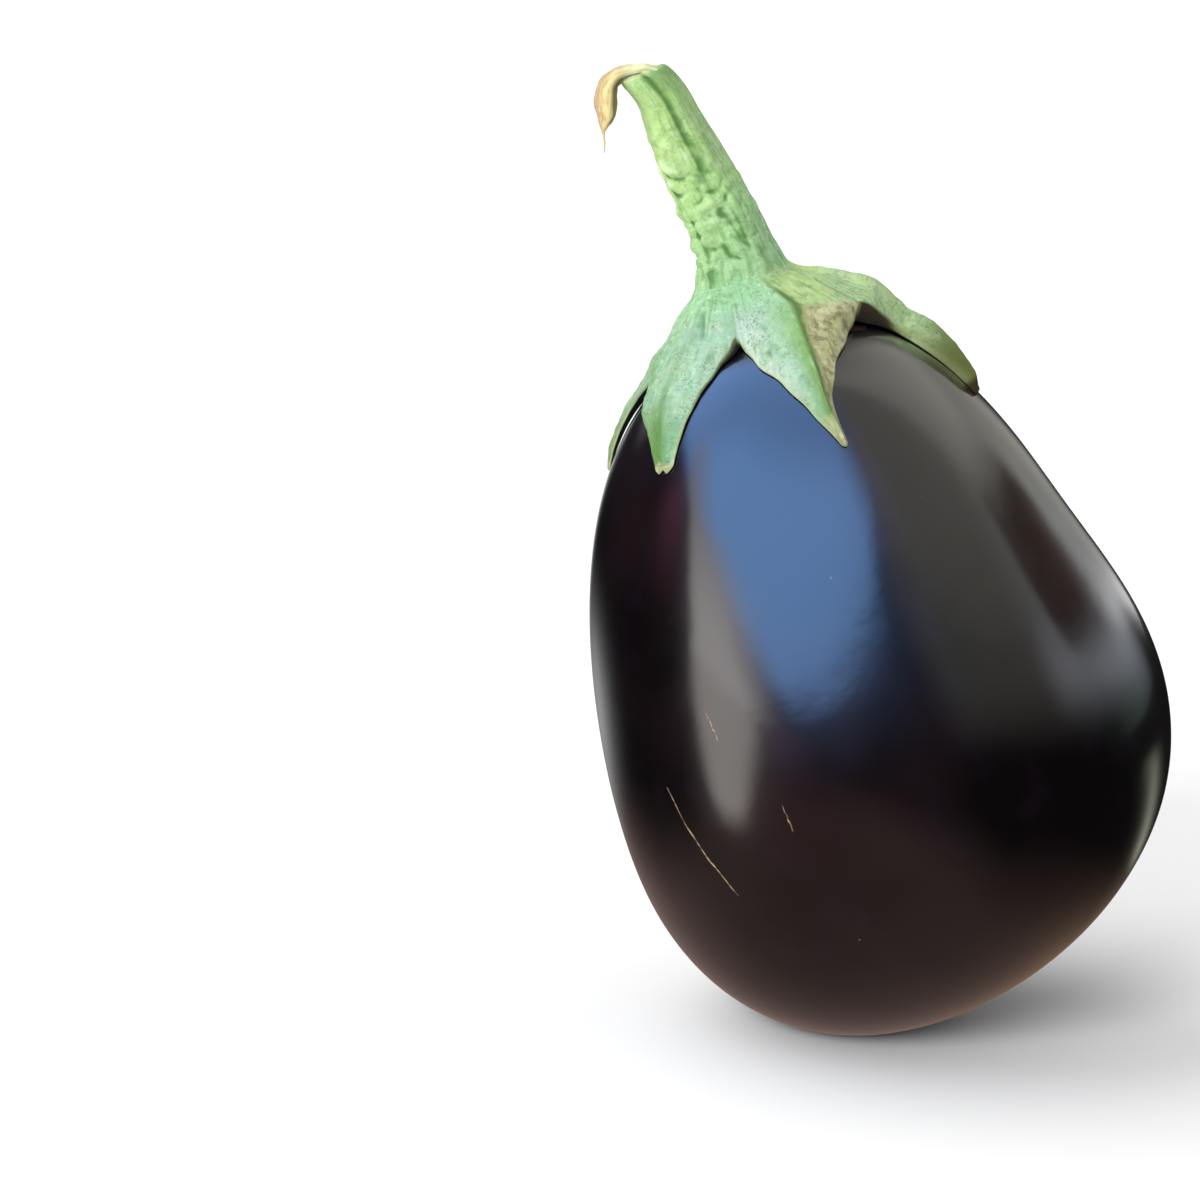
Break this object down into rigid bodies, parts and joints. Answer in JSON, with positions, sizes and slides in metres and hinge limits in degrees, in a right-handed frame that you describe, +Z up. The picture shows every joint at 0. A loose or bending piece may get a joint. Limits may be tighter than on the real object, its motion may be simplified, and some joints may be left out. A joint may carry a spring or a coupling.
{
  "type": "eggplant",
  "caption": "Whole globe eggplant: glossy pear-shaped fruit that leans on a small flat spot, with a lobed green cap and a ridged stalk.",
  "frame": {"origin": "middle of the small flat spot that it rests on", "axes": "+Z up; the fruit leans towards -X with its stalk; +Y away from the pictured side"},
  "size_m": [0.1056, 0.1024, 0.1741],
  "materials": {
    "skin": "smooth waxy skin, glossy, near black",
    "cap": "leathery, matte, pale green",
    "stalk": "woody, matte, yellow green",
    "withered": "dry, papery, tan"
  },
  "bodies": {
    "root": {"fruit": "skin", "calyx": "cap", "stem": "stalk", "dry_stem_tip": "withered"}
  },
  "joints": []
}
